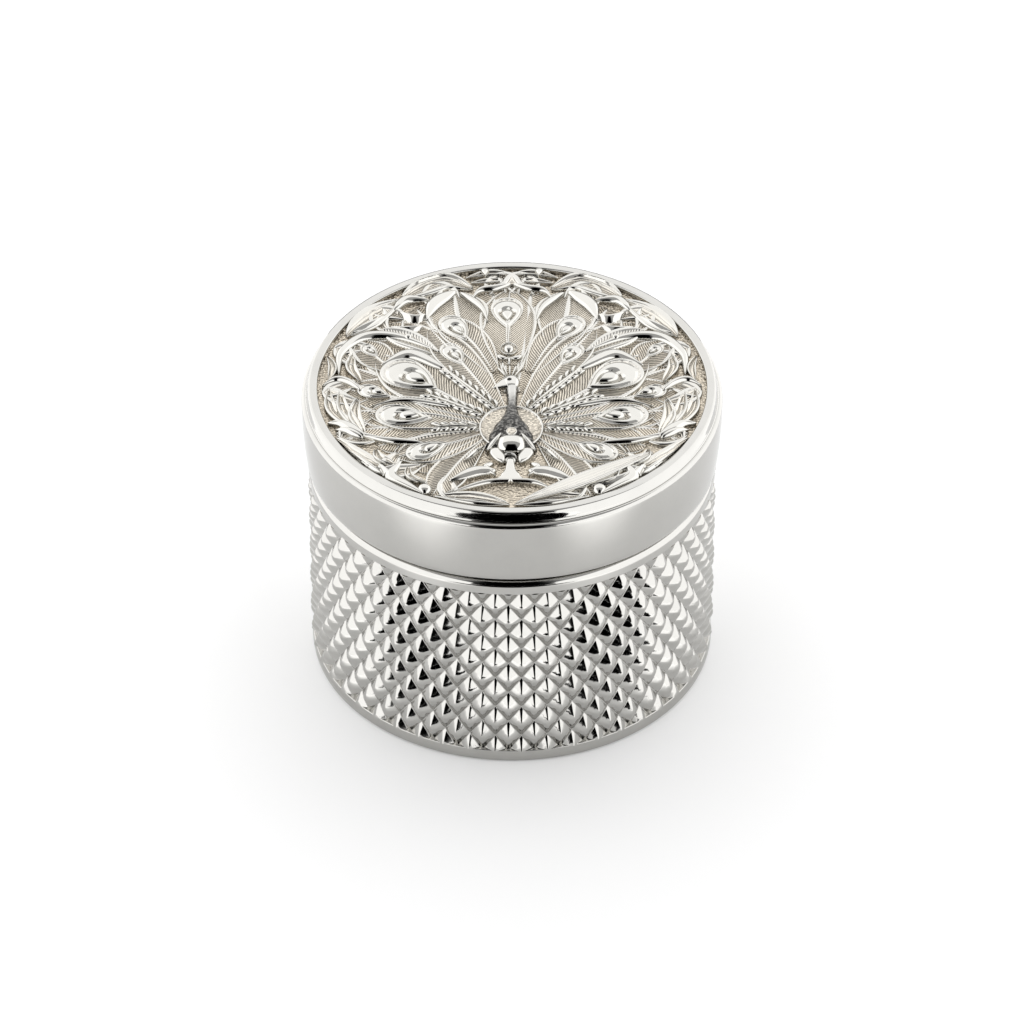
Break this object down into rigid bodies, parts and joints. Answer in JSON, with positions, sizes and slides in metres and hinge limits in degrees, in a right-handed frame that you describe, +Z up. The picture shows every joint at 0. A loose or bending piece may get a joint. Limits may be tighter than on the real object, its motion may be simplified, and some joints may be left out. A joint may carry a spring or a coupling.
{
  "type": "kumkum box",
  "caption": "Round silver-coloured box for kumkum powder, with a diamond-stud wall and a lift-off lid that carries a peacock relief medallion.",
  "frame": {"origin": "centre of the underside, on the face that the box stands on", "axes": "+Z up along the box's axis, -Y towards the foot of the peacock, +X to its viewer's right"},
  "size_m": [0.052, 0.052, 0.0409],
  "materials": {
    "polished_silver": "polished",
    "relief_silver": "satin"
  },
  "bodies": {
    "box": {"base_plate": "polished_silver", "inner_cup": "polished_silver", "diamond_wall": "polished_silver", "shoulder_ring": "polished_silver"},
    "lid": {"lid_band": "polished_silver", "backing_disc": "polished_silver", "lid_bezel": "polished_silver", "medallion": "relief_silver", "peacock_figure": "relief_silver"}
  },
  "joints": [
    {"name": "lid_lift", "type": "slide", "parent": "box", "child": "lid", "axis": [0, 0, 1], "range_m": [0, 0.05]}
  ]
}
